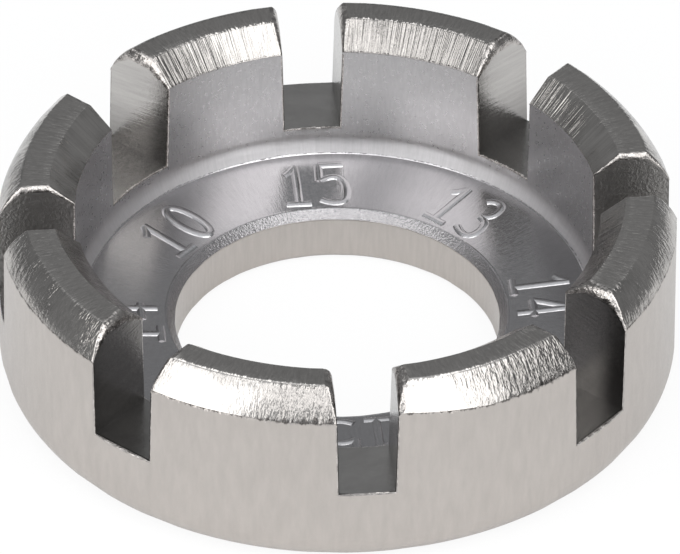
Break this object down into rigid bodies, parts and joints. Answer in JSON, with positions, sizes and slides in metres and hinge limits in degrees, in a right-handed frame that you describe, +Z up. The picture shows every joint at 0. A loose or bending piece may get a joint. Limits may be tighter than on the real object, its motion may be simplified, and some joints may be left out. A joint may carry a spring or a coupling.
{
  "type": "spoke wrench",
  "caption": "Round spoke wrench: a plated metal ring with a dished floor, a central hole and graded nipple slots cut across its raised wall.",
  "frame": {"origin": "centre of the flat base, on the bore's axis", "axes": "+Z up along the bore's axis through the crown; +X through the middle of the 11 gauge slot"},
  "size_m": [0.039, 0.039, 0.012],
  "materials": {
    "plated_metal": "satin nickel plating over a steel casting"
  },
  "bodies": {
    "root": {"wrench_body": "plated_metal"}
  },
  "joints": []
}
